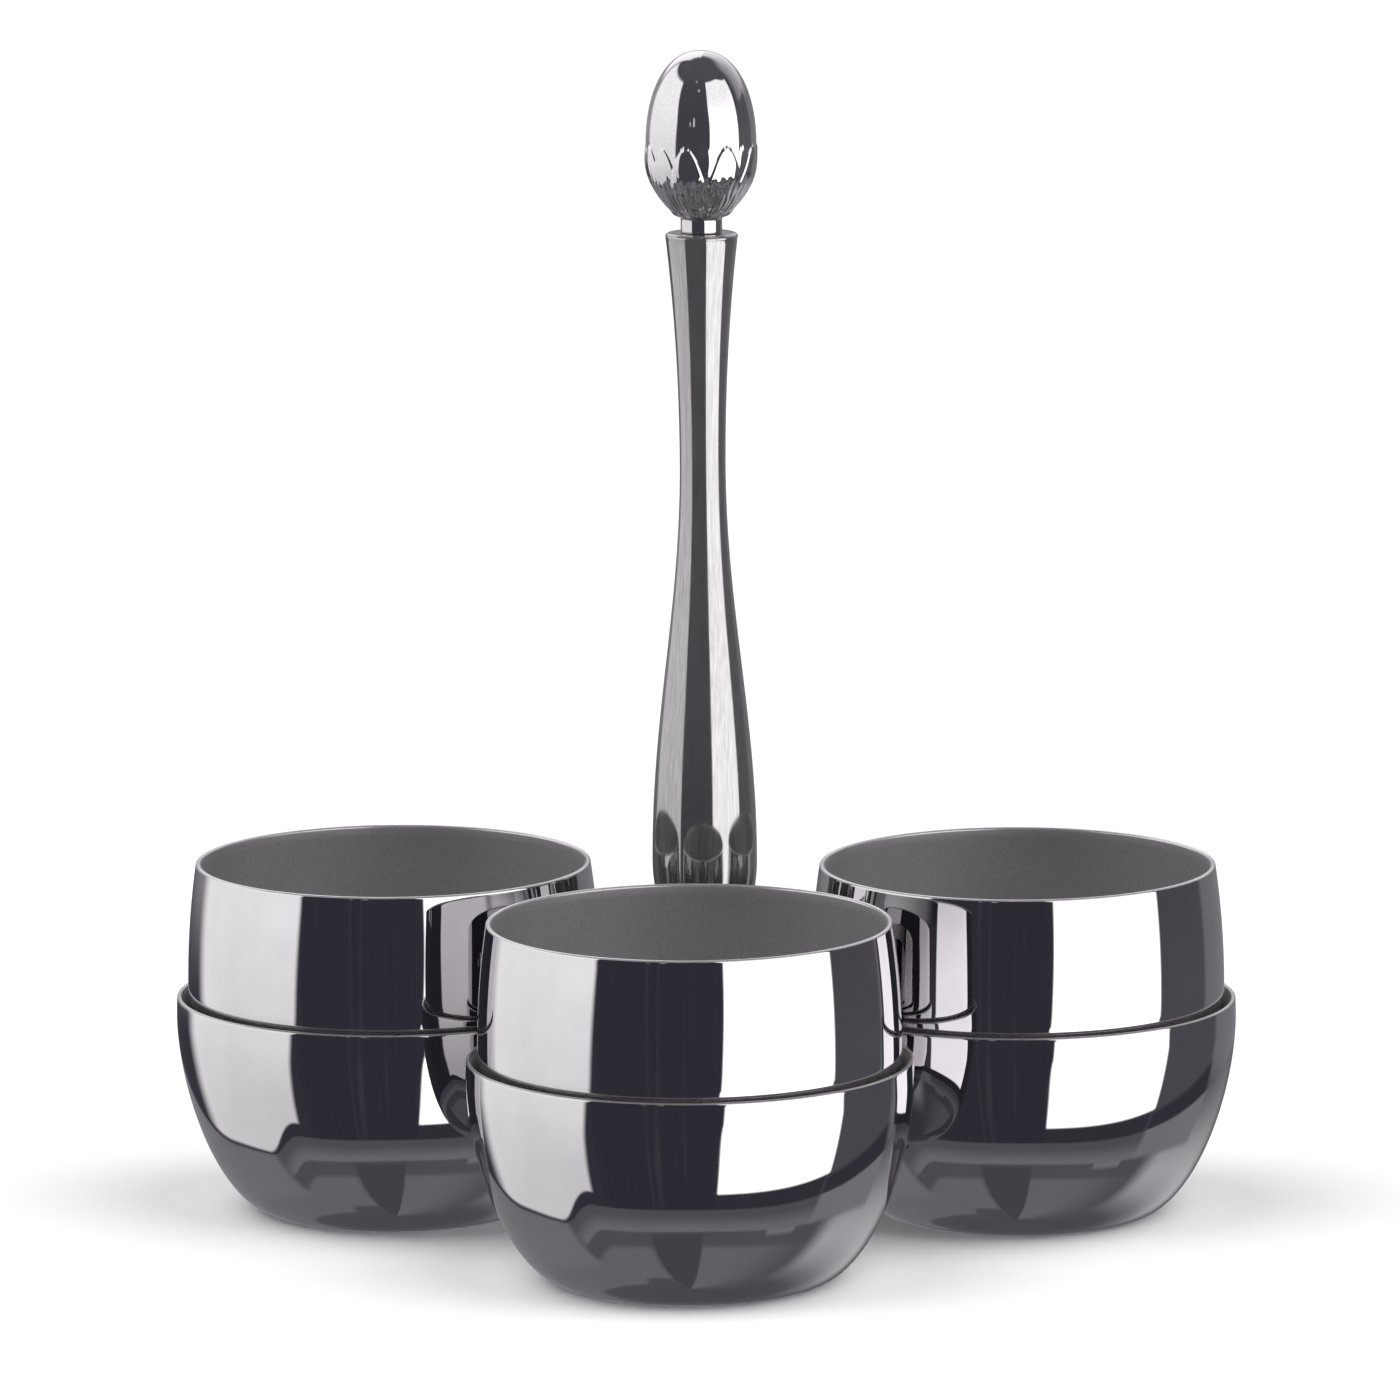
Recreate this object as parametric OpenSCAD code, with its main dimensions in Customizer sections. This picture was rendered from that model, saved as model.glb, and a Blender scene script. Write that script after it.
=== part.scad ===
// Three-cup condiment server.
// Three round cups lift out of three round holders, which stand around a turned post.
// The post carries a bud-shaped finial to lift the server by. All three holders hang on
// one hub under the post.
// Frame: +Z is up, the server stands on z = 0 and the front cup is towards -Y.
// The origin is at table height, under the middle of the whole server's box.

/* [Arrangement] */
// Angle between neighbouring cups seen from above, in degrees
cup_spread = 90; // [84:1:104]
// Gap between the front holder and each side holder
holder_gap = 1.2; // [0.6:0.1:8]

/* [Holders] */
// Outer diameter of a holder where it is widest
holder_d = 110.2; // [92:0.2:140]
// Height of a holder's rim above the table
holder_h = 54.7; // [45:0.1:70]
// How far below its rim a holder is widest
holder_belly_drop = 5.7; // [3:0.1:9]
// How much smaller in radius a holder is at its rim than at its widest
holder_rim_inset = 0.1; // [0:0.05:1]
// Diameter of the flat foot a holder stands on
holder_foot_d = 66; // [54:1:80]
// Fullness of a holder's lower curve, 2 is an ellipse
holder_fullness = 1.7; // [1.6:0.05:2]
// Thickness of a holder's wall
holder_wall = 1.3; // [1:0.1:2]

/* [Cups] */
// Radial gap between a cup and the mouth of its holder
cup_gap = 1.55; // [1.2:0.05:3]
// How far a cup's rim stands above its holder's rim
cup_rise = 33.9; // [20:0.1:60]
// How far above its holder's rim a cup is widest
cup_belly_rise = 2.3; // [0:0.1:6]
// How much smaller in radius a cup is at its rim than at its widest
cup_rim_inset = 2.25; // [0:0.05:5]
// How much smaller in radius a cup's foot is than its holder's foot
cup_foot_step = 5; // [3:0.5:9]
// Fullness of a cup's lower curve, 2 is an ellipse
cup_fullness = 1.5; // [1.4:0.05:1.6]
// Thickness of a cup's wall
cup_wall = 1.4; // [1:0.1:2]
// Air under a cup's foot when it sits in its holder
foot_gap = 0.1; // [0.05:0.05:0.5]

/* [Post] */
// Length of the post, from its foot to its flat top
post_l = 180.3; // [130:0.1:260]
// Height of the post's widest level above its foot
post_belly_h = 21.4; // [16:0.1:40]
// Height of the post's waist above its foot
post_waist_h = 122; // [90:0.5:122]
// Diameter of the post's foot
post_foot_d = 13.6; // [12.4:0.1:16]
// Diameter of the post where it is widest
post_belly_d = 26.4; // [22:0.1:34]
// Diameter of the post at its waist
post_waist_d = 11.54; // [9.6:0.02:16]
// Diameter of the post's flat top
post_top_d = 18.34; // [14:0.02:24]
// Rounding of the edge of the post's flat top
post_edge_r = 0.5; // [0.2:0.1:1]

/* [Finial] */
// Diameter of the neck between the post and the bud
neck_d = 10.44; // [9:0.02:14]
// Length of that neck
neck_h = 3.6; // [2:0.1:8]
// Height of the whole finial
finial_h = 45.6; // [38:0.1:60]
// Diameter of the smooth bud
bud_d = 27.7; // [22:0.1:36]
// Height of the bud's widest level above the finial's foot
bud_belly_h = 21.7; // [20:0.1:24]
// Fullness of the smooth bud's outline, 2 is an ellipse
bud_fullness = 2.2; // [2:0.05:2.6]
// How far the ring of petals stands proud of the bud
petal_t = 0.35; // [0.2:0.05:0.6]
// Height of the petals' widest level above the finial's foot
calyx_belly_h = 19; // [17:0.1:20]

/* [Hub] */
// Diameter of the hub's boss
hub_d = 23; // [21:0.5:30]
// Height of the hub's boss
hub_h = 20; // [18:0.5:26]
// Height of the hub's neck, from the boss to the post
hub_neck_h = 14; // [8:0.5:24]
// How much wider in radius the hub's neck is than the post's foot
hub_neck_step = 0.4; // [0:0.1:1]
// Chamfer around the underside of the boss
hub_chamfer = 1; // [0.5:0.1:1.5]
// How far a flat seat is cut into the boss
hub_flat_depth = 1.5; // [1.2:0.1:2]
// How far below a holder's widest level the holder is fastened
joint_drop = 5; // [3:0.5:6]
// Diameter of a spacer where it meets its holder
spacer_pad_d = 14; // [12:0.5:16]
// Diameter of a spacer at its waist
spacer_waist_d = 9; // [7:0.5:10]
// Diameter of a spacer where it meets the hub
spacer_foot_d = 11; // [8:0.5:11]

/* [Fasteners] */
// Thread diameter of the bolt that holds the post
post_bolt_d = 6; // [5:1:6]
// Length of that bolt's thread inside the post
post_bolt_grip = 14; // [10:1:20]
// Width of that bolt's hexagon head across its flats
post_bolt_af = 10; // [8:1:10]
// Height of that bolt's head
post_bolt_head_h = 4; // [3:0.5:6]
// Diameter of the washer under that head
post_washer_d = 12.5; // [12:0.5:18]
// Thickness of that washer
post_washer_t = 1.2; // [1:0.1:1.6]
// Thread diameter of the stud inside the finial
stud_d = 5; // [4:1:5]
// Length of that stud inside the post, and again inside the finial
stud_grip = 10; // [6:0.5:12]
// Thread diameter of a holder's screw
screw_d = 4; // [3:1:4]
// Diameter of that screw's low head
screw_head_d = 7.5; // [6:0.5:8]
// Height of that screw's low head
screw_head_h = 1.2; // [1:0.1:1.4]
// Width of the hexagon socket in that head across its flats
screw_socket_af = 2.5; // [2:0.5:2.5]
// Depth of that socket
screw_socket_h = 0.7; // [0.5:0.05:0.8]
// Diameter of the curved washer under that head
saddle_washer_d = 9; // [8:0.5:9]
// Thinnest part of that washer
saddle_washer_t = 0.1; // [0.05:0.05:0.2]

/* [Fits] */
// Radial play of a screw in its plain hole
hole_play = 0.3; // [0.2:0.05:0.5]
// Radial play of a thread in its tapped hole
thread_play = 0.05; // [0.02:0.01:0.1]
// Radial play of a spacer's foot in the flat seat that is cut for it
foot_play = 0.5; // [0.3:0.1:1]
// Gap between two faces that are drawn up against each other
seat_gap = 0.03; // [0.01:0.01:0.05]
// Depth left in a tapped hole beyond its thread
hole_run_out = 1; // [0.5:0.5:2]
// Metal left between a tapped hole for a screw and the hole for the post's bolt
hole_end_wall = 1.4; // [1:0.1:2]

/* [Hidden] */

smooth = 128;
curve_steps = 18;
short_steps = 6;
// Overlap between two shapes that are joined, and how far a cutting shape runs past a face
small = 0.01;
cut_past = 1;

// Colours
steel = [0.72, 0.72, 0.74];
cup_steel = [0.62, 0.62, 0.64];
bright_steel = [0.80, 0.80, 0.82];
bolt_steel = [0.50, 0.50, 0.52];

// Directions from the post to the cups, and distances between them
front_dir = -90;
left_dir = front_dir - cup_spread;
right_dir = front_dir + cup_spread;
cup_dirs = [front_dir, left_dir, right_dir];
cup_spacing = (holder_d + holder_gap) / (2 * sin(cup_spread / 2));
post_y = cup_spacing * (1 + cos(cup_spread)) / 2;

// Radii and levels of a holder
holder_belly_r = holder_d / 2;
holder_rim_r = holder_belly_r - holder_rim_inset;
holder_foot_r = holder_foot_d / 2;
holder_belly_z = holder_h - holder_belly_drop;

// Radii and levels of a cup
cup_belly_r = holder_rim_r - holder_wall - cup_gap;
cup_rim_r = cup_belly_r - cup_rim_inset;
cup_foot_r = holder_foot_r - cup_foot_step;
cup_foot_z = holder_wall + foot_gap;
cup_belly_z = holder_h + cup_belly_rise;
cup_rim_z = holder_h + cup_rise;

// Levels of the hub and the post
joint_z = holder_belly_z - joint_drop;
hub_bottom_z = joint_z - hub_h / 2;
hub_shoulder_z = joint_z + hub_h / 2;
post_foot_z = hub_shoulder_z + hub_neck_h + seat_gap;
post_top_z = post_foot_z + post_l;
hub_r = hub_d / 2;
flat_x = hub_r - hub_flat_depth;
post_foot_r = post_foot_d / 2;
hub_neck_r = post_foot_r + hub_neck_step;

// Where a holder's screw, its washer and its spacer lie, measured out from the post
hole_end_x = post_bolt_d / 2 + hole_play + hole_end_wall;
joint_low_z = joint_z - saddle_washer_d / 2;
washer_back_r = bowl_r(joint_low_z, holder_foot_r, holder_belly_r - holder_wall,
    holder_wall, holder_belly_z, holder_fullness);
washer_corner_r = sqrt(washer_back_r * washer_back_r - saddle_washer_d * saddle_washer_d / 4);
screw_seat_x = cup_spacing - washer_corner_r + saddle_washer_t;

// Radius of a bowl's lower curve at a level
function bowl_r(z, foot_r, belly_r, low_z, belly_z, fullness) =
    foot_r + (belly_r - foot_r)
    * pow(1 - pow((belly_z - z) / (belly_z - low_z), fullness), 1 / fullness);

// A bowl's side from its foot to its rim: a full lower curve, then a slight draw-in
function bowl_side(foot_r, belly_r, rim_r, low_z, belly_z, top_z, fullness) = concat(
    [for (i = [0 : curve_steps])
        let (a = 90 * i / curve_steps)
        [foot_r + (belly_r - foot_r) * pow(sin(a), 2 / fullness),
         belly_z - (belly_z - low_z) * pow(cos(a), 2 / fullness)]],
    [for (i = [1 : short_steps])
        let (u = i / short_steps)
        [belly_r - (belly_r - rim_r) * u * u, belly_z + (top_z - belly_z) * u]]);

// Points of a list in reverse order
function reversed(points) = [for (i = [len(points) - 1 : -1 : 0]) points[i]];

// Points of an arc around (x, y) from angle a0 to angle a1
function arc(x, y, r, a0, a1) =
    [for (i = [0 : short_steps])
        let (a = a0 + (a1 - a0) * i / short_steps)
        [x + r * cos(a), y + r * sin(a)]];

// A spun bowl of even wall with a rounded lip
module bowl(foot_r, belly_r, rim_r, low_z, belly_z, rim_z, wall, fullness) {
    lip_z = rim_z - wall / 2;
    outside = bowl_side(foot_r, belly_r, rim_r, low_z, belly_z, lip_z, fullness);
    inside = bowl_side(foot_r, belly_r - wall, rim_r - wall, low_z + wall, belly_z, lip_z, fullness);
    rotate_extrude($fn = smooth)
        polygon(concat(
            [[0, low_z]], outside,
            arc(rim_r - wall / 2, lip_z, wall / 2, 0, 180),
            reversed(inside), [[0, low_z + wall]]));
}

// The space that a holder fills up to its belly, grown by a gap
module holder_envelope(gap) {
    side = bowl_side(holder_foot_r, holder_belly_r, holder_rim_r, 0, holder_belly_z,
        holder_h, holder_fullness);
    rotate_extrude($fn = smooth)
        polygon(concat([[0, 0]], [for (p = side) [p[0] + gap, p[1]]], [[0, holder_h]]));
}

// Places its children at the post, with +X towards the cup in a direction
module from_post(direction) {
    translate([0, post_y, 0])
        rotate([0, 0, direction])
            children();
}

// Places its children at a cup, with -X towards the post
module at_cup(direction) {
    from_post(direction)
        translate([cup_spacing, 0, 0])
            children();
}

// A rod along +X from x0 to x1 at the level of the holder joints
module joint_rod(r, x0, x1) {
    translate([x0, 0, joint_z])
        rotate([0, 90, 0])
            cylinder(r = r, h = x1 - x0, $fn = smooth);
}

// One outer bowl that stands on the table, with a hole for its screw
module holder(direction) {
    color(steel)
        at_cup(direction)
            difference() {
                bowl(holder_foot_r, holder_belly_r, holder_rim_r, 0, holder_belly_z,
                    holder_h, holder_wall, holder_fullness);
                joint_rod(screw_d / 2 + hole_play, -holder_belly_r - cut_past, -holder_foot_r);
            }
}

// One removable cup, resting on the floor of its holder
module cup(direction) {
    color(cup_steel)
        at_cup(direction)
            bowl(cup_foot_r, cup_belly_r, cup_rim_r, cup_foot_z, cup_belly_z,
                cup_rim_z, cup_wall, cup_fullness);
}

// Outline of the post: foot, belly, long cosine sweep to the waist, then a flare
function post_side() =
    let (belly_r = post_belly_d / 2, waist_r = post_waist_d / 2, top_r = post_top_d / 2,
        squash = sqrt(1 - pow(post_foot_r / belly_r, 2)),
        flare_h = post_l - post_waist_h)
    concat(
        [for (i = [0 : short_steps * 2])
            let (u = 1 - i / (short_steps * 2))
            [belly_r * sqrt(1 - pow(squash * u, 2)), post_belly_h * (1 - u)]],
        [for (i = [1 : curve_steps])
            let (u = i / curve_steps)
            [waist_r + (belly_r - waist_r) * (1 + cos(180 * u)) / 2,
             post_belly_h + (post_waist_h - post_belly_h) * u]],
        [for (i = [1 : curve_steps])
            let (u = (1 - post_edge_r / flare_h) * i / curve_steps)
            [waist_r + (top_r - waist_r) * u * u, post_waist_h + flare_h * u]],
        arc(top_r - post_edge_r, post_l - post_edge_r, post_edge_r, 0, 90));

// The turned handle, tapped at both ends
module post() {
    color(steel)
        translate([0, post_y, post_foot_z])
            difference() {
                rotate_extrude($fn = smooth)
                    polygon(concat([[0, 0]], post_side(), [[0, post_l]]));
                translate([0, 0, -small])
                    cylinder(r = post_bolt_d / 2 + thread_play,
                        h = post_bolt_grip + hole_run_out + small, $fn = smooth);
                translate([0, 0, post_l - stud_grip - hole_run_out])
                    cylinder(r = stud_d / 2 + thread_play,
                        h = stud_grip + hole_run_out + small, $fn = smooth);
            }
}

// Outline of the finial: neck, petals swelling up to their edge, then the smooth bud
function finial_side() =
    let (neck_r = neck_d / 2, bud_r = bud_d / 2, petal_r = bud_r + petal_t,
        bud_top = finial_h - bud_belly_h, power = 2 / bud_fullness)
    concat(
        [[neck_r, 0]],
        [for (i = [0 : curve_steps])
            let (u = 1 - i / curve_steps)
            [petal_r - (petal_r - neck_r) * u * u,
             calyx_belly_h - (calyx_belly_h - neck_h) * u]],
        [[petal_r, bud_belly_h]],
        [for (i = [0 : curve_steps - 1])
            let (a = 90 * i / curve_steps)
            [bud_r * pow(cos(a), power), bud_belly_h + bud_top * pow(sin(a), power)]]);

// The bud-shaped knob, tapped from below
module finial() {
    color(bright_steel)
        translate([0, post_y, post_top_z + seat_gap])
            difference() {
                rotate_extrude($fn = smooth)
                    polygon(concat([[0, 0]], finial_side(), [[0, finial_h]]));
                translate([0, 0, -small])
                    cylinder(r = stud_d / 2 + thread_play,
                        h = stud_grip + hole_run_out + small, $fn = smooth);
            }
}

// The threaded stud that joins the finial to the post
module finial_stud() {
    color(bolt_steel)
        translate([0, post_y, post_top_z - stud_grip])
            cylinder(r = stud_d / 2, h = 2 * stud_grip, $fn = smooth);
}

// Outline of the hub: a chamfered boss that draws in to a neck under the post
function hub_side() = concat(
    [[hub_r - hub_chamfer, 0], [hub_r, hub_chamfer]],
    [for (i = [0 : 2 * short_steps])
        let (u = i / (2 * short_steps))
        [hub_neck_r + (hub_r - hub_neck_r) * (1 + cos(180 * u)) / 2, hub_h + hub_neck_h * u]]);

// The turned piece under the post that all three holders hang on
module hub() {
    color(steel)
        difference() {
            translate([0, post_y, hub_bottom_z])
                difference() {
                    rotate_extrude($fn = smooth)
                        polygon(concat([[0, 0]], hub_side(), [[0, hub_h + hub_neck_h]]));
                    translate([0, 0, -small])
                        cylinder(r = post_bolt_d / 2 + hole_play,
                            h = hub_h + hub_neck_h + 2 * small, $fn = smooth);
                }
            for (direction = cup_dirs)
                from_post(direction) {
                    joint_rod(spacer_foot_d / 2 + foot_play, flat_x, hub_r + cut_past);
                    joint_rod(screw_d / 2 + thread_play, hole_end_x, hub_r + cut_past);
                }
        }
}

// One turned sleeve between the hub and a holder. It is drawn as far as its pad's corner
// needs, and the holder's shape is cut from it.
module spacer(direction) {
    wall_low_r = bowl_r(joint_z - spacer_pad_d / 2, holder_foot_r, holder_belly_r, 0,
        holder_belly_z, holder_fullness);
    wall_corner_r = sqrt(wall_low_r * wall_low_r - spacer_pad_d * spacer_pad_d / 4);
    reach = cup_spacing - wall_corner_r - flat_x;
    pad_r = spacer_pad_d / 2;
    waist_r = spacer_waist_d / 2;
    foot_r = spacer_foot_d / 2;
    side = [for (i = [0 : 2 * short_steps])
        let (u = i / (2 * short_steps), end_r = u < 0.5 ? foot_r : pad_r)
        [waist_r + (end_r - waist_r) * pow(cos(180 * u), 2), reach * u]];
    color(steel)
        from_post(direction)
            difference() {
                translate([flat_x + seat_gap, 0, joint_z])
                    rotate([0, 90, 0])
                        rotate_extrude($fn = smooth)
                            polygon(concat([[0, 0]], side, [[0, reach]]));
                joint_rod(screw_d / 2 + hole_play, flat_x - cut_past, flat_x + reach + cut_past);
                translate([cup_spacing, 0, 0])
                    holder_envelope(seat_gap);
            }
}

// The bolt that draws the post down on the hub
module post_bolt() {
    head_z = hub_bottom_z - post_washer_t - 2 * seat_gap;
    color(bolt_steel)
        translate([0, post_y, head_z]) {
            translate([0, 0, -post_bolt_head_h])
                cylinder(r = post_bolt_af / 2 / cos(30), h = post_bolt_head_h, $fn = 6);
            translate([0, 0, -small])
                cylinder(r = post_bolt_d / 2,
                    h = post_foot_z + post_bolt_grip - head_z + small, $fn = smooth);
        }
}

// The washer under that bolt's head
module post_washer() {
    color(bolt_steel)
        translate([0, post_y, hub_bottom_z - post_washer_t - seat_gap])
            difference() {
                cylinder(r = post_washer_d / 2, h = post_washer_t, $fn = smooth);
                translate([0, 0, -cut_past])
                    cylinder(r = post_bolt_d / 2 + hole_play, h = post_washer_t + 2 * cut_past,
                        $fn = smooth);
            }
}

// Three low-headed screws, each from inside a holder through its spacer into the hub
module holder_screws() {
    head_x = screw_seat_x + seat_gap;
    color(bolt_steel)
        for (direction = cup_dirs)
            from_post(direction)
                difference() {
                    union() {
                        joint_rod(screw_d / 2, hole_end_x + hole_run_out / 2, head_x + small);
                        joint_rod(screw_head_d / 2, head_x, head_x + screw_head_h);
                    }
                    translate([head_x + screw_head_h - screw_socket_h, 0, joint_z])
                        rotate([0, 90, 0])
                            cylinder(r = screw_socket_af / 2 / cos(30),
                                h = screw_socket_h + cut_past, $fn = 6);
                }
}

// Three washers, flat under the screw's head and curved to fit the holder's inside
module saddle_washers() {
    inner_side = bowl_side(holder_foot_r, holder_belly_r - holder_wall - seat_gap,
        holder_rim_r - holder_wall - seat_gap, holder_wall, holder_belly_z, holder_h,
        holder_fullness);
    color(bolt_steel)
        for (direction = cup_dirs)
            difference() {
                intersection() {
                    from_post(direction)
                        joint_rod(saddle_washer_d / 2, cup_spacing - holder_belly_r, screw_seat_x);
                    at_cup(direction)
                        rotate_extrude($fn = 4 * smooth)
                            polygon(concat([[0, holder_wall]], inner_side, [[0, holder_h]]));
                }
                from_post(direction)
                    joint_rod(screw_d / 2 + hole_play, flat_x, screw_seat_x + cut_past);
            }
}

holder(front_dir);  // holder_front
holder(left_dir);  // holder_left
holder(right_dir);  // holder_right
cup(front_dir);  // cup_front
cup(left_dir);  // cup_left
cup(right_dir);  // cup_right
post();
finial();
finial_stud();
hub();
spacer(front_dir);  // spacer_front
spacer(left_dir);  // spacer_left
spacer(right_dir);  // spacer_right
post_bolt();
post_washer();
holder_screws();
saddle_washers();
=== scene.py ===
"""Looks of the three-cup condiment server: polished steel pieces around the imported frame."""
import math

import bpy
from mathutils import Matrix, Vector


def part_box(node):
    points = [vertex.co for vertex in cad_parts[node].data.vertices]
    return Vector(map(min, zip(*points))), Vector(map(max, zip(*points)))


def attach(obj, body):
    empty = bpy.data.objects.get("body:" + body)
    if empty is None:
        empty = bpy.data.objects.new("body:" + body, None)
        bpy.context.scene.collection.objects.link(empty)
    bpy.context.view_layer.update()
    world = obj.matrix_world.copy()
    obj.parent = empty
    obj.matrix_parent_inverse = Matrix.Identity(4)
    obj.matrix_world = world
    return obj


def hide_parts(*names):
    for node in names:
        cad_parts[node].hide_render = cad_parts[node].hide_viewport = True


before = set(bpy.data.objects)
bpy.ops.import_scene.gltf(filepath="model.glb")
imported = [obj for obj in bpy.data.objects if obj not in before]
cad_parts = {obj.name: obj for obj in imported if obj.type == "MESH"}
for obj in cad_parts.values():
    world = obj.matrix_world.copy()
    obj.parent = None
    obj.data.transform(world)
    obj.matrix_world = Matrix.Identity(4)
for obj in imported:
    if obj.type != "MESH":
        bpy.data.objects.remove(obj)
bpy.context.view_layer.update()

MM = 0.001
SIDES = ("front", "left", "right")

# ---------------------------------------------------------------- sizes, in metres
holder_lo, holder_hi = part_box("holder_front")
cup_lo, cup_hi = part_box("cup_front")
post_lo, post_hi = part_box("post")
finial_lo, finial_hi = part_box("finial")

POST_X = (post_lo.x + post_hi.x) / 2
POST_Y = (post_lo.y + post_hi.y) / 2

HOLDER_R = (holder_hi.x - holder_lo.x) / 2
HOLDER_RIM_Z = holder_hi.z
HOLDER_BELLY_Z = HOLDER_RIM_Z - 5.7 * MM
HOLDER_FOOT_R = 33 * MM
HOLDER_RIM_INSET = 0.1 * MM
HOLDER_WALL = 1.3 * MM
HOLDER_FULLNESS = 1.7

CUP_R = (cup_hi.x - cup_lo.x) / 2
CUP_FOOT_Z = cup_lo.z
CUP_RIM_Z = cup_hi.z
CUP_BELLY_Z = HOLDER_RIM_Z + 2.3 * MM
CUP_FOOT_R = 28 * MM
CUP_RIM_INSET = 2.25 * MM
CUP_WALL = 1.4 * MM
CUP_FULLNESS = 1.5

POST_L = post_hi.z - post_lo.z
POST_BELLY_R = (post_hi.x - post_lo.x) / 2
POST_BELLY_H = 21.4 * MM
POST_WAIST_H = 122 * MM
POST_FOOT_R = 6.8 * MM
POST_WAIST_R = 5.77 * MM
POST_TOP_R = 9.17 * MM
POST_EDGE_R = 1.1 * MM

FINIAL_H = finial_hi.z - finial_lo.z
NECK_R = 5.22 * MM
NECK_H = 3.6 * MM
PETAL_T = 0.35 * MM
BUD_R = (finial_hi.x - finial_lo.x) / 2 - PETAL_T
BUD_BELLY_H = 21.7 * MM
CALYX_BELLY_H = 19 * MM
BUD_FULLNESS = 2.2
PETALS = 8

# Facets round a bowl or the post, and round the finial with its finer relief
SPIN_STEPS = 256
BUD_STEPS = 448
NO_RADIUS = 1e-7


# ---------------------------------------------------------------- mesh helpers
def centre_of(node):
    """Middle of a node's box, seen from above."""
    lo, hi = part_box(node)
    return Vector(((lo.x + hi.x) / 2, (lo.y + hi.y) / 2, 0))


def spin(name, outline, centre, materials, zones=None, steps=SPIN_STEPS, offset=None):
    """Spins (radius, height) points round the vertical through centre. zones gives each
    stretch's material; offset(angle, radius, height) moves a point outward."""
    verts, faces, slots, rings = [], [], [], []
    for radius, height in outline:
        if radius < NO_RADIUS:
            rings.append([len(verts)])
            verts.append((0, 0, height))
            continue
        ring = []
        for k in range(steps):
            angle = 2 * math.pi * k / steps
            out = radius + (offset(angle, radius, height) if offset else 0)
            ring.append(len(verts))
            verts.append((out * math.cos(angle), out * math.sin(angle), height))
        rings.append(ring)
    for i in range(len(rings) - 1):
        low, high = rings[i], rings[i + 1]
        for k in range(steps):
            j = (k + 1) % steps
            if len(low) == 1 and len(high) == 1:
                break
            if len(low) == 1:
                faces.append((low[0], high[j], high[k]))
            elif len(high) == 1:
                faces.append((low[k], low[j], high[0]))
            else:
                faces.append((low[k], low[j], high[j], high[k]))
            slots.append(zones[i] if zones else 0)
    mesh = bpy.data.meshes.new(name)
    mesh.from_pydata(verts, [], faces)
    for material in materials:
        mesh.materials.append(material)
    for polygon, slot in zip(mesh.polygons, slots):
        polygon.material_index = slot
        polygon.use_smooth = True
    mesh.update()
    piece = bpy.data.objects.new(name, mesh)
    piece.location = centre
    bpy.context.scene.collection.objects.link(piece)
    return piece


def arc(x, y, radius, start, end, count=8):
    """Points of an arc round (x, y), angles in degrees."""
    points = []
    for i in range(count + 1):
        angle = math.radians(start + (end - start) * i / count)
        points.append((x + radius * math.cos(angle), y + radius * math.sin(angle)))
    return points


def flat(radius, height, rings=6):
    """Points of a flat disc from its middle to just inside a radius."""
    return [(radius * i / rings, height) for i in range(rings)]


# ---------------------------------------------------------------- shapes
def bowl_side(foot_r, belly_r, rim_r, low_z, belly_z, top_z, fullness, low=56, high=14):
    """A bowl's side: a full lower curve, then a slight draw-in to the rim."""
    points = []
    for i in range(low + 1):
        angle = math.pi / 2 * i / low
        out = math.sin(angle) ** (2 / fullness)
        up = 1 - math.cos(angle) ** (2 / fullness) if i < low else 1
        points.append((foot_r + (belly_r - foot_r) * out, low_z + (belly_z - low_z) * up))
    for i in range(1, high + 1):
        u = i / high
        points.append((belly_r - (belly_r - rim_r) * u * u, belly_z + (top_z - belly_z) * u))
    return points


def bowl_outline(foot_r, belly_r, rim_r, low_z, belly_z, rim_z, wall, fullness):
    """(outline, zones) of a bowl of even wall: zone 0 outside, 1 the lip and 2 inside."""
    lip_r = wall / 2
    lip_z = rim_z - lip_r
    outside = bowl_side(foot_r, belly_r, rim_r, low_z, belly_z, lip_z, fullness)
    inside = bowl_side(foot_r, belly_r - wall, rim_r - wall, low_z + wall, belly_z, lip_z, fullness)
    lip = arc(rim_r - lip_r, lip_z, lip_r, 0, 180, 14)[1:-1]
    base = flat(foot_r, low_z)
    floor = flat(foot_r, low_z + wall)
    outline = base + outside + lip + inside[::-1] + floor[::-1]
    lip_start = len(base) + len(outside) + 1
    lip_end = lip_start + len(lip) - 2
    zones = [0 if i < lip_start else 1 if i < lip_end else 2 for i in range(len(outline) - 1)]
    return outline, zones


def post_outline(belly_steps=40, sweep_steps=100, flare_steps=50):
    """Foot, belly, a long sweep to the waist and a flare to the flat top."""
    squash = math.sqrt(1 - (POST_FOOT_R / POST_BELLY_R) ** 2)
    flare_h = POST_L - POST_WAIST_H
    points = flat(POST_FOOT_R, 0)
    for i in range(belly_steps + 1):
        u = 1 - i / belly_steps
        points.append((POST_BELLY_R * math.sqrt(1 - (squash * u) ** 2), POST_BELLY_H * (1 - u)))
    for i in range(1, sweep_steps + 1):
        u = i / sweep_steps
        r = POST_WAIST_R + (POST_BELLY_R - POST_WAIST_R) * (1 + math.cos(math.pi * u)) / 2
        points.append((r, POST_BELLY_H + (POST_WAIST_H - POST_BELLY_H) * u))
    for i in range(1, flare_steps + 1):
        u = (1 - POST_EDGE_R / flare_h) * i / flare_steps
        r = POST_WAIST_R + (POST_TOP_R - POST_WAIST_R) * u * u
        points.append((r, POST_WAIST_H + flare_h * u))
    points += arc(POST_TOP_R - POST_EDGE_R, POST_L - POST_EDGE_R, POST_EDGE_R, 0, 90)[1:]
    points += flat(POST_TOP_R - POST_EDGE_R, POST_L)[::-1]
    return points


def smoothstep(low, high, value):
    """0 below low, 1 above high and a smooth step between."""
    t = min(max((value - low) / (high - low), 0), 1)
    return t * t * (3 - 2 * t)


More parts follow.
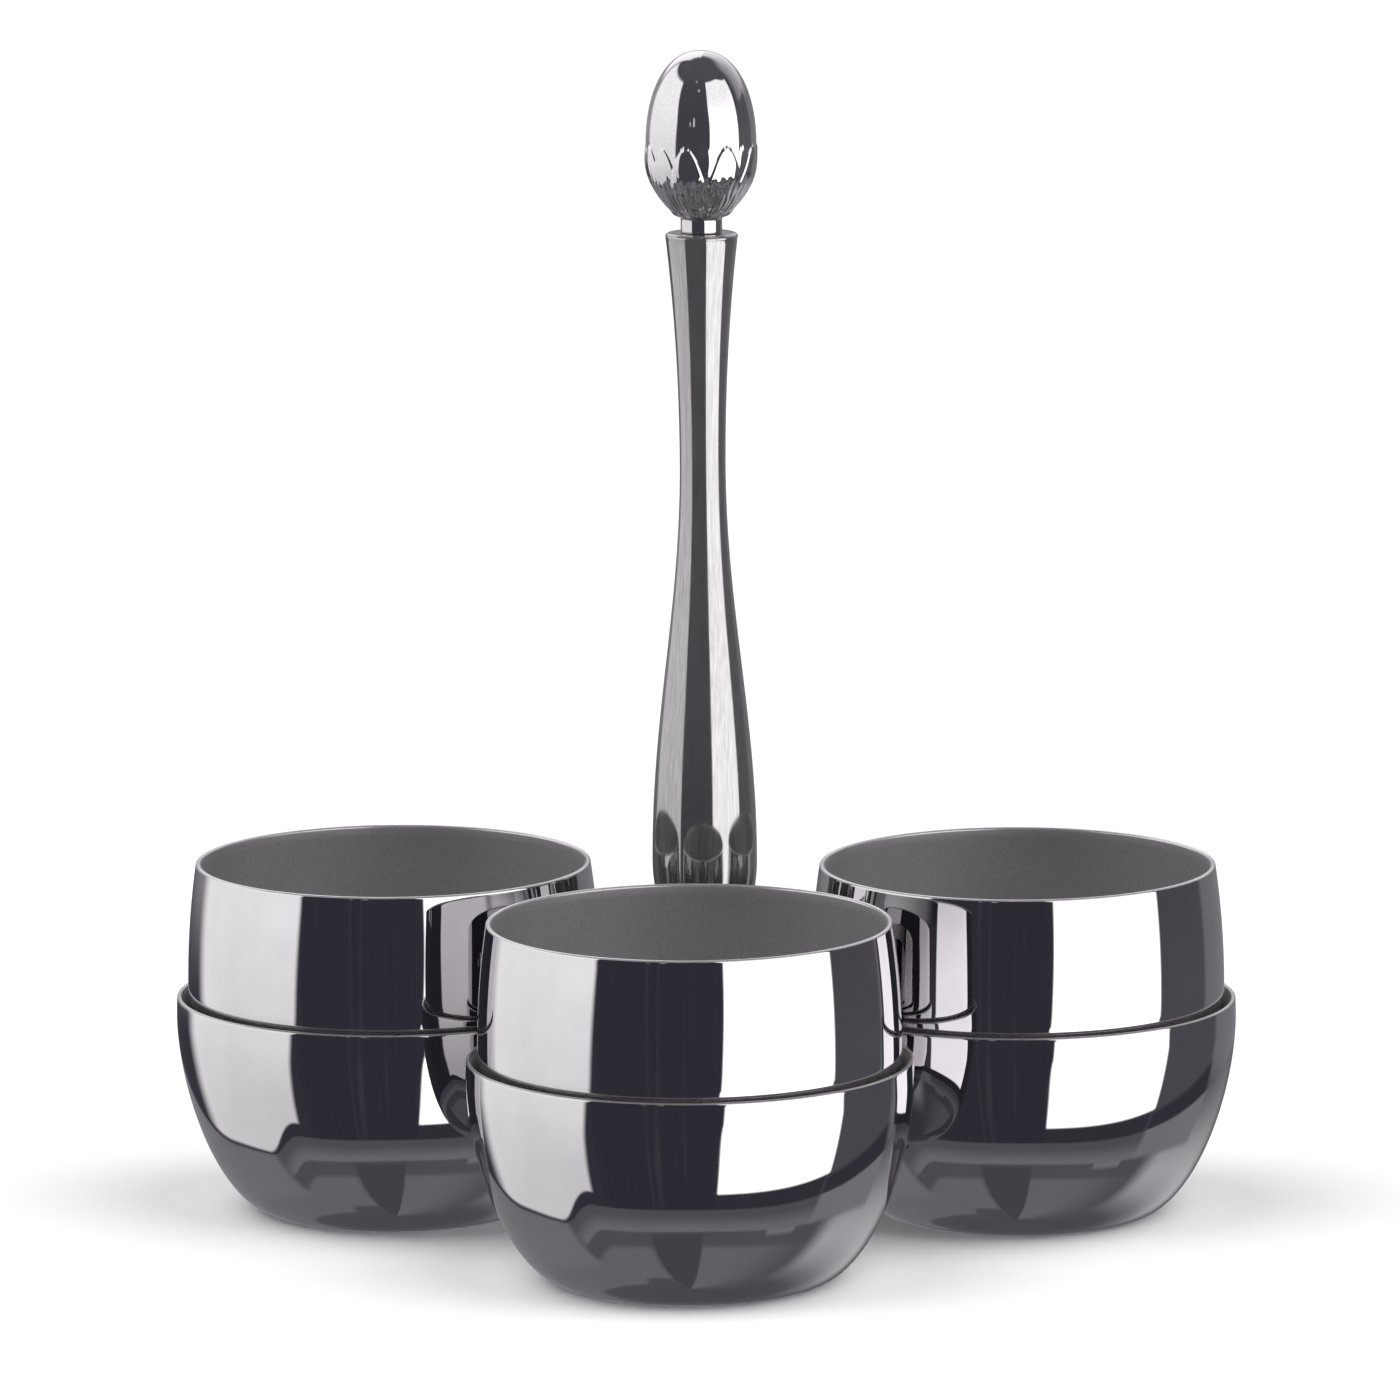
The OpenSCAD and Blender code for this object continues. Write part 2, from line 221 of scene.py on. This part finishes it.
# Hand-cut petals: how far each petal's tip is turned, in degrees, and raised, in mm
TIP_TURNS = (-2.6, 1.5, -1.8, 2.2, -1.2, 4.2, 2.1, -3.6)
TIP_RISES = (0.0, 0.2, -0.3, 0.1, -0.2, 0.1, 0.3, 0.0)
PITCH = 2 * math.pi / PETALS
FRONT_TURN = math.radians(28)
FRONT_REACH = 1.06
FRONT_STEP = 0.36 * MM
FRONT_SWELL = 0.18 * MM
BEHIND_DROP = 0.4 * MM
BEHIND_REACH = 0.98
BEHIND_STEP = 0.14 * MM
BEHIND_SWELL = 0.10 * MM
TIP_H = 22.6 * MM
TIP_POWER = 0.6
FORK_H = 11.5 * MM

# Two sets of ribs below RIB_H, the grooves between petals, and the small lobes over the neck
RIB_H = 15.4 * MM
RIBS = 48
RIB_RISE = 0.060 * MM
CROSS_RIBS = 31
CROSS_RIB_RISE = 0.045 * MM
GROOVE_DEPTH = 0.18 * MM
GROOVE_WIDTH = 0.05
VEINS = 56
VEIN_RISE = 0.012 * MM
LOBE_RISE = 0.45 * MM
LOBE_H = 1.3 * MM
LOBE_SPREAD = 0.9 * MM


def petal(angle, height, ring_turn, tip_h, reach):
    """(inside, across) of the nearest petal in a ring: inside runs from 0 on its edge to 1 on
    its middle line, and across is the angle from that line. Reach widens the petals."""
    k = math.floor((angle - ring_turn) / PITCH + 0.5)
    middle = ring_turn + k * PITCH + math.radians(TIP_TURNS[k % PETALS])
    tip = tip_h + TIP_RISES[k % PETALS] * MM
    across = angle - middle
    rise = (tip - height) / (tip - FORK_H)
    if rise <= 0:
        return 0, across
    half_width = PITCH / 2 * reach * min(rise, 1) ** TIP_POWER
    return max(0, 1 - (across / half_width) ** 2), across


def petals(angle, height):
    """(proud, front, across): how far the two rings of petals stand out, then where the point
    is on the nearest front petal."""
    front, across = petal(angle, height, FRONT_TURN, TIP_H, FRONT_REACH)
    behind, _ = petal(angle, height, FRONT_TURN + PITCH / 2, TIP_H - BEHIND_DROP, BEHIND_REACH)
    proud = BEHIND_STEP * smoothstep(0, 0.22, behind) + BEHIND_SWELL * behind
    if front > 0:
        proud = max(proud, FRONT_STEP * smoothstep(0, 0.30, front) + FRONT_SWELL * front)
    return proud, front, across


def ribbing(angle, height, across):
    """Fine ribs that run together towards the neck, and a groove between the petals. They end
    at a ragged height."""
    ragged = height + MM * (0.7 * math.cos(angle * 19) + 0.5 * math.cos(angle * 31 + 2))
    low = 1 - smoothstep(RIB_H - 2.6 * MM, RIB_H + 0.6 * MM, ragged)
    wander = 0.35 * math.sin(height / MM * 0.9 + 3 * angle)
    ribs = RIB_RISE * math.cos(angle * RIBS + wander * 3)
    ribs += CROSS_RIB_RISE * math.cos(angle * CROSS_RIBS - wander * 5)
    groove = GROOVE_DEPTH * math.exp(-((abs(across) - PITCH / 2) / GROOVE_WIDTH) ** 2)
    return (ribs - groove) * low


def lobes(angle, height):
    """Eight small lobes just above the neck."""
    level = math.exp(-((height - NECK_H - LOBE_H) / LOBE_SPREAD) ** 2)
    return LOBE_RISE * max(0, math.cos((angle - FRONT_TURN) * PETALS)) ** 0.7 * level


def calyx_offset(angle, radius, height):
    """Relief of the finial's calyx over its smooth outline."""
    if height > TIP_H + 1 * MM or height < NECK_H:
        return 0
    proud, front, across = petals(angle, height)
    veins = VEIN_RISE * math.cos(angle * VEINS) * front
    fade = smoothstep(NECK_H, NECK_H + 1.0 * MM, height)
    return (proud + ribbing(angle, height, across) + veins + lobes(angle, height)) * fade


def finial_outline(calyx_steps=160, belly_steps=40, bud_steps=90):
    """Neck, calyx and smooth bud, before the calyx gets its relief."""
    bead = 0.3 * MM
    points = flat(NECK_R - bead, 0, 4) + arc(NECK_R - bead, bead, bead, -90, 0, 5)
    points += [(NECK_R, bead + (NECK_H - bead) * i / 8) for i in range(1, 8)]
    for i in range(calyx_steps + 1):
        u = 1 - i / calyx_steps
        r = BUD_R - (BUD_R - NECK_R) * u * u
        points.append((r, CALYX_BELLY_H - (CALYX_BELLY_H - NECK_H) * u))
    for i in range(1, belly_steps + 1):
        points.append((BUD_R, CALYX_BELLY_H + (BUD_BELLY_H - CALYX_BELLY_H) * i / belly_steps))
    rise = FINIAL_H - BUD_BELLY_H
    power = 2 / BUD_FULLNESS
    for i in range(1, bud_steps + 1):
        angle = math.pi / 2 * i / bud_steps
        r = BUD_R * math.cos(angle) ** power if i < bud_steps else 0
        points.append((r, BUD_BELLY_H + rise * math.sin(angle) ** power))
    return points


# ---------------------------------------------------------------- materials
class Nodes:
    """Short names for the few nodes that the materials and the world use."""

    def __init__(self, tree):
        self.tree = tree
        tree.nodes.clear()

    def add(self, kind, **settings):
        """A new node of a kind, with its settings."""
        node = self.tree.nodes.new(kind)
        for key, value in settings.items():
            setattr(node, key, value)
        return node

    def put(self, socket, value):
        """Links an output to a socket, or sets a constant on it."""
        if isinstance(value, bpy.types.NodeSocket):
            self.tree.links.new(value, socket)
        else:
            socket.default_value = value

    def math(self, operation, *values):
        node = self.add("ShaderNodeMath", operation=operation)
        for socket, value in zip(node.inputs, values):
            self.put(socket, value)
        return node.outputs[0]

    def span(self, value, low, high, out_low=0.0, out_high=1.0):
        """Smooth step of value from low to high, between two outputs."""
        node = self.add("ShaderNodeMapRange", interpolation_type="SMOOTHSTEP")
        for socket, number in zip(node.inputs, (value, low, high, out_low, out_high)):
            self.put(socket, number)
        return node.outputs[0]

    def noise(self, vector, scale, detail=3.0, roughness=0.5):
        node = self.add("ShaderNodeTexNoise")
        self.put(node.inputs["Vector"], vector)
        self.put(node.inputs["Scale"], scale)
        self.put(node.inputs["Detail"], detail)
        self.put(node.inputs["Roughness"], roughness)
        return node.outputs["Fac"]

    def ramp(self, value, stops):
        """Colours by value, through (place, colour) stops."""
        node = self.add("ShaderNodeValToRGB")
        band = node.color_ramp
        while len(band.elements) < len(stops):
            band.elements.new(0.5)
        for element, (place, colour) in zip(band.elements, stops):
            element.position = place
            element.color = (*colour, 1)
        self.put(node.inputs[0], value)
        return node.outputs[0]


def grey(level):
    """A barely violet grey, as polished steel shows it, from one linear level."""
    return (level, level * 0.970, level)


def steel(name, level, rough, haze=0.0, grain=(90, 90, 90), mottle=0.03, strength=0.0, depth=0.0):
    """Steel with smudges in its gloss, whose roughness lies between the two values of rough.
    Haze is the share of light that fine scratches scatter. Grain is how fine the grain is each
    way, mottle how much the tone changes over it, and depth its relief in metres."""
    material = bpy.data.materials.new(name)
    material.use_nodes = True
    n = Nodes(material.node_tree)
    shader = n.add("ShaderNodeBsdfPrincipled")
    out = n.add("ShaderNodeOutputMaterial")
    place = n.add("ShaderNodeTexCoord").outputs["Object"]
    smudge = n.noise(place, 38, 4, 0.55)
    mapping = n.add("ShaderNodeMapping")
    n.put(mapping.inputs["Vector"], place)
    n.put(mapping.inputs["Scale"], Vector(grain))
    tone = n.noise(mapping.outputs[0], 1.0, 3, 0.6)
    stops = [(0.3, grey(level * (1 - mottle))), (0.7, grey(level * (1 + mottle)))]
    n.put(shader.inputs["Base Color"], n.ramp(tone, stops))
    n.put(shader.inputs["Roughness"], n.span(smudge, 0.35, 0.7, *rough))
    n.put(shader.inputs["Metallic"], 1.0 - haze)
    n.put(shader.inputs["Specular IOR Level"], 0.0)
    if strength:
        relief = n.add("ShaderNodeBump")
        n.put(relief.inputs["Strength"], strength)
        n.put(relief.inputs["Distance"], depth)
        n.put(relief.inputs["Height"], tone)
        n.put(shader.inputs["Normal"], relief.outputs[0])
    n.put(out.inputs["Surface"], shader.outputs[0])
    return material


FINE = (1500, 1500, 1500)
LENGTHWISE = (1700, 1700, 70)

polished = steel("polished_steel", 0.50, (0.010, 0.040))
lip = steel("lip_steel", 0.46, (0.24, 0.34), haze=0.20)
rim = steel("holder_rim_steel", 0.38, (0.24, 0.34), haze=0.14)
satin = steel("satin_steel", 0.37, (0.50, 0.60), 0.42, FINE, 0.10, 0.35, 0.020 * MM)
# Painted light: the holder's inside is paler and hazier than the cup's satin, so the shaded gap
# between cup and holder shows lighter. This stands in for the bright room that the real polished
# inside mirrors there.
painted_light_inside = steel("holder_inside_painted_light_steel", 0.58, (0.40, 0.50), 0.60, FINE, 0.05, 0.35, 0.020 * MM)
turned = steel("turned_steel", 0.32, (0.06, 0.13), 0.18, LENGTHWISE, 0.13, 0.3, 0.003 * MM)
cast = steel("polished_casting", 0.52, (0.03, 0.07), 0.05, FINE, 0.06, 0.4, 0.004 * MM)
worked = steel("worked_steel", 0.45, (0.16, 0.26), 0.03, (300, 300, 300), 0.05, 0.4, 0.010 * MM)
plain = steel("fastener_steel", 0.38, (0.24, 0.36), 0.03, (900, 900, 900), 0.05, 0.4, 0.010 * MM)


# ---------------------------------------------------------------- pieces
def add_holder(side):
    """A bowl that stands on the table, with a brushed lip and an inside made paler than the cup's
    satin: painted light that brightens the shaded gap round the cup.
    """
    outline, zones = bowl_outline(
        HOLDER_FOOT_R, HOLDER_R, HOLDER_R - HOLDER_RIM_INSET, 0,
        HOLDER_BELLY_Z, HOLDER_RIM_Z, HOLDER_WALL, HOLDER_FULLNESS)
    node = "holder_" + side
    piece = spin("holder_bowl_" + side, outline, centre_of(node), [polished, rim, painted_light_inside], zones)
    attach(piece, "stand")
    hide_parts(node)


def add_cup(side):
    """A cup with a brushed lip and a satin inside, which moves with its own joint."""
    outline, zones = bowl_outline(
        CUP_FOOT_R, CUP_R, CUP_R - CUP_RIM_INSET, CUP_FOOT_Z,
        CUP_BELLY_Z, CUP_RIM_Z, CUP_WALL, CUP_FULLNESS)
    node = "cup_" + side
    piece = spin("cup_shell_" + side, outline, centre_of(node), [polished, lip, satin], zones)
    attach(piece, node)
    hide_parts(node)


def add_post():
    """The turned post, with streaks along its length."""
    piece = spin("post_turned", post_outline(), Vector((POST_X, POST_Y, post_lo.z)), [turned])
    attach(piece, "stand")
    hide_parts("post")


def add_finial():
    """The bud with its carved calyx and neck."""
    piece = spin("finial_bud", finial_outline(), Vector((POST_X, POST_Y, finial_lo.z)), [cast],
                 steps=BUD_STEPS, offset=calyx_offset)
    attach(piece, "stand")
    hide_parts("finial")


def dress(node, material):
    """Gives a carried CAD node its material."""
    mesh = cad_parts[node].data
    mesh.materials.clear()
    mesh.materials.append(material)


for side in SIDES:
    add_holder(side)
    add_cup(side)
    dress("spacer_" + side, worked)
add_post()
add_finial()
dress("hub", worked)
for node in ("finial_stud", "post_bolt", "post_washer", "holder_screws", "saddle_washers"):
    dress(node, plain)


# ---------------------------------------------------------------- camera
CAMERA_DISTANCE = 2.615
CAMERA_AZIMUTH = math.radians(2.88)
CAMERA_HEIGHT = math.radians(9.83)
CAMERA_ROLL = math.radians(-0.31)
CAMERA_LENS = 267.4
CAMERA_SENSOR = 36
AIM = Vector((POST_X - 1.0 * MM, POST_Y, 129.9 * MM))


def add_camera():
    """A long lens a little above the server and a little to the right of its front."""
    back = Vector((math.sin(CAMERA_AZIMUTH) * math.cos(CAMERA_HEIGHT),
                   -math.cos(CAMERA_AZIMUTH) * math.cos(CAMERA_HEIGHT),
                   math.sin(CAMERA_HEIGHT)))
    right = (-back).cross(Vector((0, 0, 1))).normalized()
    up = right.cross(-back)
    tilted = math.cos(CAMERA_ROLL) * right + math.sin(CAMERA_ROLL) * up
    top = math.cos(CAMERA_ROLL) * up - math.sin(CAMERA_ROLL) * right
    camera = bpy.data.objects.new("camera", bpy.data.cameras.new("camera"))
    bpy.context.scene.collection.objects.link(camera)
    camera.data.lens = CAMERA_LENS
    camera.data.sensor_width = CAMERA_SENSOR
    camera.data.clip_start = 0.1
    camera.data.clip_end = 50
    turn = Matrix((tilted, top, back)).transposed()
    camera.matrix_world = Matrix.Translation(AIM + CAMERA_DISTANCE * back) @ turn.to_4x4()
    bpy.context.scene.camera = camera


add_camera()


# ---------------------------------------------------------------- floor
FLOOR_HALF = 12.0
FLOOR_DROP = 0.0002


def floor_material():
    """Matt and nearly white, with a slight change of tone."""
    material = bpy.data.materials.new("pale_floor")
    material.use_nodes = True
    n = Nodes(material.node_tree)
    shader = n.add("ShaderNodeBsdfPrincipled")
    place = n.add("ShaderNodeTexCoord").outputs["Object"]
    stops = [(0.3, (0.90, 0.90, 0.90)), (0.7, (0.92, 0.92, 0.92))]
    n.put(shader.inputs["Base Color"], n.ramp(n.noise(place, 6, 2, 0.5), stops))
    n.put(shader.inputs["Roughness"], 0.9)
    n.put(shader.inputs["Specular IOR Level"], 0.0)
    n.put(n.add("ShaderNodeOutputMaterial").inputs["Surface"], shader.outputs[0])
    return material


def add_floor():
    """A plain floor just under the feet. The steel mirrors the studio's own table instead."""
    mesh = bpy.data.meshes.new("floor")
    corners = [(x * FLOOR_HALF, y * FLOOR_HALF, 0) for x, y in ((-1, -1), (1, -1), (1, 1), (-1, 1))]
    mesh.from_pydata(corners, [], [(0, 1, 2, 3)])
    mesh.materials.append(floor_material())
    floor = bpy.data.objects.new("floor", mesh)
    floor.location.z = -FLOOR_DROP
    floor.visible_glossy = False
    bpy.context.scene.collection.objects.link(floor)


add_floor()


# ---------------------------------------------------------------- studio
class Studio:
    """Brightness of the studio round the server by direction, as nodes: two tall soft boxes, a
    dark front, a bright back, a dim room, and the grey table with what it mirrors dimly.
    Directions are in degrees: around to the right from the camera's side, up from level, and
    rise above the table's edge. Each part is laid over the parts before it."""

    def __init__(self, n):
        self.n = n
        split = n.add("ShaderNodeSeparateXYZ")
        n.put(split.inputs[0], n.add("ShaderNodeTexCoord").outputs["Generated"])
        x, y, z = split.outputs
        heading = n.math("DEGREES", n.math("ARCTAN2", x, n.math("MULTIPLY", y, -1.0)))
        self.around = n.math("SUBTRACT", heading, math.degrees(CAMERA_AZIMUTH))
        self.up = n.math("DEGREES", n.math("ARCSINE", z))
        self.rise = n.math("SUBTRACT", self.up, self.table_edge())

    def brightness(self):
        """The dim room, then each part over it, and the table below its edge."""
        room = self.n.span(self.up, 40, 60, 0.045, 0.06)
        light = self.back_wall(room)
        light = self.left_box(light)
        light = self.right_box(light)
        light = self.dark_front(light)
        light = self.lamps(light)
        return self.over(light, self.n.span(self.rise, 0.35, -0.35), self.table())

    def patch(self, left, right, low, high, soft=2.0, level=None, level_soft=None):
        """1 inside a patch of directions, with soft edges. Low and high are up, or another
        level, which can have an edge of its own softness."""
        level = level or self.up
        lift = soft if level_soft is None else level_soft
        edges = ((self.around, left - soft, left + soft), (self.around, right + soft, right - soft),
                 (level, low - lift, low + lift), (level, high + lift, high - lift))
        return self.product(1.0, *(self.n.span(*edge) for edge in edges))

    def product(self, first, *others):
        """All the masks multiplied together."""
        for other in others:
            first = self.n.math("MULTIPLY", first, other)
        return first

    def over(self, below, mask, level):
        """Lays a patch of a brightness over what is there."""
        change = self.n.math("SUBTRACT", level, below)
        return self.n.math("ADD", below, self.n.math("MULTIPLY", mask, change))

    def table_edge(self):
        """44 degrees down in front, 12 behind, 33 at the sides and lower again on the left."""
        n = self.n
        front = n.math("COSINE", n.math("RADIANS", self.around))
        side = n.math("SUBTRACT", 1.0, n.math("MULTIPLY", front, front))
        drop = n.math("ADD", n.math("MULTIPLY", front, 16.0), n.math("MULTIPLY", side, 5.0))
        dip = n.math("MULTIPLY", n.span(self.around, -62, -92), n.span(self.around, -178, -120))
        edge = n.math("SUBTRACT", -28.0, drop)
        return n.math("SUBTRACT", edge, n.math("MULTIPLY", dip, 8.0))

    def back_wall(self, light):
        """A wall that fades towards the right, a brighter one on the left, the dim foot of
        each, and a dark wall on the right."""
        fading = self.n.span(self.around, 100, 178, 0.3, 1.1)
        light = self.over(light, self.patch(100, 200, 10, 56, 9), fading)
        light = self.over(light, self.patch(126, 200, -20, 8, 5), 0.20)
        light = self.over(light, self.patch(-200, -140, 14, 62, 7), 1.4)
        light = self.over(light, self.patch(-200, -130, -8, 12, 4), 0.32)
        side_wall = self.n.span(self.up, -8, 12, 0.10, 0.075)
        return self.over(light, self.patch(83, 126, -40, 14, 1.5), side_wall)

    def left_box(self, light):
        """The left soft box: its right edge is bent, and it is dimmer towards its foot."""
        n = self.n
        bend = n.math("MULTIPLY", n.math("ABSOLUTE", n.math("SUBTRACT", self.up, 8.0)), 0.19)
        slant = n.math("ADD", self.around, bend)
        foot = n.math("SUBTRACT", self.rise, n.span(self.around, -92, -62, 0.9, 4.0))
        mask = self.product(n.span(self.around, -142, -128), n.span(slant, -50.3, -53.7),
                            n.math("MULTIPLY", n.span(self.up, 47, 41), n.span(foot, -0.5, 0.5)))
        return self.over(light, mask, n.span(self.up, -36, 20, 0.88, 1.34))

    def right_box(self, light):
        """The right soft box: its left edge leans, and its top slopes down to the right."""
        n = self.n
        lean = n.math("MULTIPLY", n.span(self.up, -26, 2, 0, 3.2), n.span(self.up, 24, 6))
        start = n.math("SUBTRACT", self.around, lean)
        roof = n.math("SUBTRACT", 50.0, n.span(self.around, 50, 84, 0, 9))
        mask = self.product(n.span(start, 14.8, 16.4), n.span(self.around, 86, 84),
                            n.span(n.math("SUBTRACT", self.up, roof), 1.5, -1.5),
                            n.span(self.rise, 4.7, 5.7))
        return self.over(light, mask, n.span(self.up, -5, 30, 2.5, 1.4))

    def dark_front(self, light):
        """The dark front round and below the camera, with faint upright streaks, and the dark
        foot of the right wall."""
        n = self.n
        place = n.add("ShaderNodeCombineXYZ")
        n.put(place.inputs[0], self.around)
        n.put(place.inputs[1], n.math("MULTIPLY", self.up, 0.04))
        n.put(place.inputs[2], 4.0)
        streaks = n.span(n.noise(place.outputs[0], 0.32, 3, 0.6), 0.52, 0.85, 0.040, 0.070)
        light = self.over(light, self.patch(-52, 16, -60, 24, 1.2), streaks)
        return self.over(light, self.patch(84, 128, -2, 4.5, 2, self.rise, 1.0), 0.045)

    def lamps(self, light):
        """Small lamps beside and above the camera: each one's left, right, low and high edge."""
        lamps = ((-16.5, -13, 7, 13), (-24, -22, 7, 10), (-16, -13, 50, 53), (-7, -3, 38, 41))
        for edges in lamps:
            light = self.over(light, self.patch(*edges, 0.6), 0.8)
        return light

    def table(self):
        """A rim that gets darker towards the table's edge, and dim mirror images below it."""
        n = self.n
        around, rise = self.around, self.rise
        table = n.span(rise, -50, -30, 0.10, 0.115)
        right_image = n.span(around, 40, 110, 0.19, 0.11)
        table = self.over(table, self.patch(9, 118, -60, -14.5, 2, rise, 1.5), right_image)
        table = self.over(table, self.patch(-170, -32, -34, -14.5, 5, rise, 1.5), 0.19)
        table = self.over(table, self.patch(-30, 9, -60, -9, 1.5, rise), 0.085)
        table = self.over(table, self.patch(-180, -88, -17, 2, 4, rise), 0.22)
        middle = n.math("ABSOLUTE", n.math("ADD", rise, 14.0))
        back_image = n.span(middle, 0, 16, 0.52, 0.30)
        table = self.over(table, self.patch(100, 162, -31, -3, 9, rise), back_image)
        table = self.over(table, self.patch(56, 76, -10, -3, 1.2, rise), 0.24)
        front_rim = n.span(rise, -7.2, -1.5, 0.21, 0.115)
        table = self.over(table, self.patch(-86, 88, -8, 2, 5, rise, 0.5), front_rim)
        return self.over(table, self.patch(84, 128, -8, 2, 2, rise, 1.0), 0.24)


def soft_light(n):
    """Plain soft light for what isn't mirrored: two high lamps, left and right of the camera,
    with some light from everywhere."""
    split = n.add("ShaderNodeSeparateXYZ")
    n.put(split.inputs[0], n.add("ShaderNodeTexCoord").outputs["Generated"])
    x, y, z = split.outputs
    facing = n.math("MULTIPLY", n.math("ABSOLUTE", x), 0.55)
    facing = n.math("ADD", facing, n.math("MULTIPLY", y, -0.15))
    facing = n.math("ADD", facing, n.math("MULTIPLY", z, 0.82))
    return n.span(facing, 0.84, 0.93, 0.2, 4.2)


STUDIO_GAIN = 1.24
GREEN_SHIFT = -0.001
BLUE_SHIFT = 0.015


def add_world():
    """White to the camera, the studio to mirroring steel, and soft light to everything else."""
    world = bpy.data.worlds.new("studio")
    bpy.context.scene.world = world
    world.use_nodes = True
    n = Nodes(world.node_tree)
    backdrop = n.add("ShaderNodeBackground")
    n.put(backdrop.inputs["Color"], (1, 1, 1, 1))
    diffused = n.add("ShaderNodeBackground")
    n.put(diffused.inputs["Strength"], soft_light(n))
    mirrored = n.add("ShaderNodeBackground")
    brightness = n.math("MULTIPLY", Studio(n).brightness(), STUDIO_GAIN)
    colour = n.add("ShaderNodeCombineXYZ")
    n.put(colour.inputs[0], brightness)
    n.put(colour.inputs[1], n.math("ADD", brightness, GREEN_SHIFT))
    n.put(colour.inputs[2], n.math("ADD", brightness, BLUE_SHIFT))
    n.put(mirrored.inputs["Color"], colour.outputs[0])
    path = n.add("ShaderNodeLightPath")
    unseen = n.add("ShaderNodeMixShader")
    n.put(unseen.inputs[0], path.outputs["Is Glossy Ray"])
    n.put(unseen.inputs[1], diffused.outputs[0])
    n.put(unseen.inputs[2], mirrored.outputs[0])
    mix = n.add("ShaderNodeMixShader")
    n.put(mix.inputs[0], path.outputs["Is Camera Ray"])
    n.put(mix.inputs[1], unseen.outputs[0])
    n.put(mix.inputs[2], backdrop.outputs[0])
    n.put(n.add("ShaderNodeOutputWorld").inputs["Surface"], mix.outputs[0])


add_world()
bpy.context.scene.view_settings.view_transform = "Standard"
